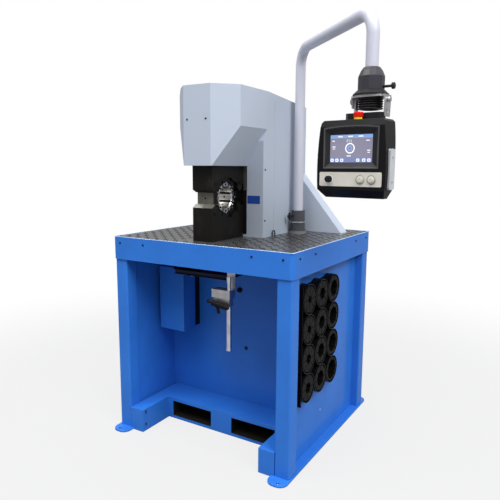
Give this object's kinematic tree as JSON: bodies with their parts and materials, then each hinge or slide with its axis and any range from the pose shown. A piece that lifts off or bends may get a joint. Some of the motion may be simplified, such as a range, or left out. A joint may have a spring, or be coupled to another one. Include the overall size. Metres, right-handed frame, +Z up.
{
  "type": "hose crimping machine",
  "caption": "Hydraulic hose crimping machine on a steel bench, with wedge-driven radial dies in a C frame and a control panel on a swing arm.",
  "frame": {"origin": "centre of the floor bolt pattern, on the floor", "axes": "+X to the operator's right along the crimp axis, +Y from the operator to the back, +Z up"},
  "size_m": [1.2227, 0.94, 1.7615],
  "materials": {
    "bench_paint": "high-gloss powder coat",
    "cover_paint": "satin textured paint",
    "mat_rubber": "moulded lozenge tread",
    "block_black": "semi-matt black",
    "die_steel": "ground, lightly oiled",
    "bare_steel": "brushed",
    "chromed_rod": "hard chromed and ground",
    "screw_black": "blackened",
    "pole_paint": "satin light grey",
    "joint_black": "fine-grained moulding",
    "rubber_black": "matt",
    "joint_plate": "zinc plated",
    "panel_black": "fine-grained moulding",
    "screen_grey": "glossy",
    "key_cream": "matt film",
    "button_cream": "glossy",
    "stop_red": "glossy",
    "stop_yellow": "glossy",
    "pod_grey": "matt",
    "rack_black": "matt",
    "tank_paint": "hammered grey",
    "motor_paint": "painted casting",
    "valve_steel": "zinc passivated",
    "heat_sink": "black anodised",
    "clamp_alloy": "milled"
  },
  "bodies": {
    "bench": {"foot_plates": "bench_paint", "corner_posts": "bench_paint", "side_panels": "bench_paint", "rim_tray": "bench_paint", "rubber_mat": "mat_rubber", "cross_rails": "bench_paint", "rim_screws": "screw_black", "base_box": "bench_paint", "knee_panel": "bench_paint", "rear_panel": "bench_paint", "oil_tank": "tank_paint", "motor_pump": "motor_paint", "valve_block": "valve_steel", "pressure_pipe": "bare_steel", "chip_runners": "bare_steel", "cabinet_body": "bench_paint", "cabinet_cover": "bench_paint", "heat_sink": "heat_sink", "stop_bracket": "clamp_alloy", "c_frame": "block_black", "guide_strips": "bare_steel", "cylinder": "bare_steel", "head_cover": "cover_paint", "column_cover": "cover_paint", "wing_covers": "cover_paint", "pole_base": "joint_black", "die_rack": "rack_black", "stored_dies": "die_steel", "die_bottom": "die_steel"},
    "chip_tray": {"chip_tray": "bench_paint"},
    "stop_rod": {"stop_rod": "chromed_rod"},
    "stop_lever": {"stop_lever": "joint_black"},
    "ram": {"ram_block": "block_black", "piston_rod": "chromed_rod", "die_top": "die_steel"},
    "arm": {"pole_collar": "joint_black", "pole_tube": "pole_paint", "coupling": "joint_black"},
    "arm_handle": {"pole_handle": "joint_black"},
    "swivel": {"swivel_joint": "joint_plate", "bellows": "rubber_black"},
    "panel": {"tilt_base": "joint_black", "panel_housing": "panel_black", "screen": "screen_grey", "key_plate": "key_cream", "push_bezels": "joint_plate", "stop_collar": "stop_yellow", "side_pod": "pod_grey"},
    "clamp_knob": {"clamp_knob": "joint_black"},
    "push_left": {"push_left": "button_cream"},
    "push_right": {"push_right": "button_cream"},
    "selector_knob": {"selector_knob": "joint_black"},
    "stop_button": {"stop_button": "stop_red"},
    "die_rear": {"die_rear": "die_steel"},
    "die_upper_rear": {"die_upper_rear": "die_steel"},
    "die_upper_front": {"die_upper_front": "die_steel"},
    "die_front": {"die_front": "die_steel"},
    "die_lower_front": {"die_lower_front": "die_steel"},
    "die_lower_rear": {"die_lower_rear": "die_steel"}
  },
  "joints": [
    {"name": "ram_slide", "type": "slide", "parent": "bench", "child": "ram", "axis": [0, 0, -1], "range_m": [-0.036, 0.013]},
    {"name": "die_rear_slide", "type": "slide", "parent": "bench", "child": "die_rear", "axis": [0, -0.7071, -0.7071], "range_m": [-0.02558, 0.00931]},
    {"name": "die_front_slide", "type": "slide", "parent": "bench", "child": "die_front", "axis": [0, 0.7071, -0.7071], "range_m": [-0.02558, 0.00931]},
    {"name": "die_lower_rear_slide", "type": "slide", "parent": "bench", "child": "die_lower_rear", "axis": [0, -0.9239, -0.3827], "range_m": [-0.0139, 0.00509]},
    {"name": "die_lower_front_slide", "type": "slide", "parent": "bench", "child": "die_lower_front", "axis": [0, 0.9239, -0.3827], "range_m": [-0.0139, 0.00509]},
    {"name": "die_upper_rear_slide", "type": "slide", "parent": "ram", "child": "die_upper_rear", "axis": [0, -0.9239, 0.3827], "range_m": [-0.0139, 0.00509]},
    {"name": "die_upper_front_slide", "type": "slide", "parent": "ram", "child": "die_upper_front", "axis": [0, 0.9239, 0.3827], "range_m": [-0.0139, 0.00509]},
    {"name": "arm_swing", "type": "hinge", "parent": "bench", "child": "arm", "pos_m": [0.1825, 0.157, 0.956], "axis": [0, 0, 1], "range_deg": [0, 100]},
    {"name": "arm_handle_turn", "type": "hinge", "parent": "arm", "child": "arm_handle", "pos_m": [0.1825, 0.157, 0.982], "axis": [-0.3011, -0.9536, 0], "range_deg": [-90, 90]},
    {"name": "panel_swivel", "type": "hinge", "parent": "arm", "child": "swivel", "pos_m": [0.661, -0.268, 1.474], "axis": [0, 0, 1], "range_deg": [-90, 90]},
    {"name": "panel_tilt", "type": "hinge", "parent": "swivel", "child": "panel", "pos_m": [0.65968, -0.27993, 1.437], "axis": [0.994, -0.1097, 0], "range_deg": [-12, 12]},
    {"name": "clamp_knob_turn", "type": "hinge", "parent": "arm", "child": "clamp_knob", "pos_m": [0.72064, -0.27458, 1.482], "axis": [0.994, -0.1097, 0], "range_deg": [-90, 90]},
    {"name": "push_left_press", "type": "slide", "parent": "panel", "child": "push_left", "axis": [0.1097, 0.994, 0], "range_m": [0, 0.004], "stiffness_N_per_m": 500},
    {"name": "push_right_press", "type": "slide", "parent": "panel", "child": "push_right", "axis": [0.1097, 0.994, 0], "range_m": [0, 0.004], "stiffness_N_per_m": 500},
    {"name": "selector_turn", "type": "hinge", "parent": "panel", "child": "selector_knob", "pos_m": [0.54809, -0.35212, 1.1675], "axis": [0.1097, 0.994, 0], "range_deg": [-45, 45]},
    {"name": "stop_button_press", "type": "slide", "parent": "panel", "child": "stop_button", "axis": [0, 0, -1], "range_m": [0, 0.005], "stiffness_N_per_m": 800},
    {"name": "chip_tray_slide", "type": "slide", "parent": "bench", "child": "chip_tray", "axis": [0, -1, 0], "range_m": [0, 0.2]},
    {"name": "stop_rod_slide", "type": "slide", "parent": "bench", "child": "stop_rod", "axis": [0, 0, 1], "range_m": [-0.03, 0.1]},
    {"name": "stop_lever_turn", "type": "hinge", "parent": "bench", "child": "stop_lever", "pos_m": [0.1, -0.386, 0.662], "axis": [0, 1, 0], "range_deg": [-60, 60]}
  ],
  "couplings": [
    {"joint": "die_rear_slide", "follows": "ram_slide", "ratio": 0.70711},
    {"joint": "die_front_slide", "follows": "ram_slide", "ratio": 0.70711},
    {"joint": "die_lower_rear_slide", "follows": "ram_slide", "ratio": 0.38268},
    {"joint": "die_lower_front_slide", "follows": "ram_slide", "ratio": 0.38268},
    {"joint": "die_upper_rear_slide", "follows": "ram_slide", "ratio": 0.38268},
    {"joint": "die_upper_front_slide", "follows": "ram_slide", "ratio": 0.38268}
  ]
}
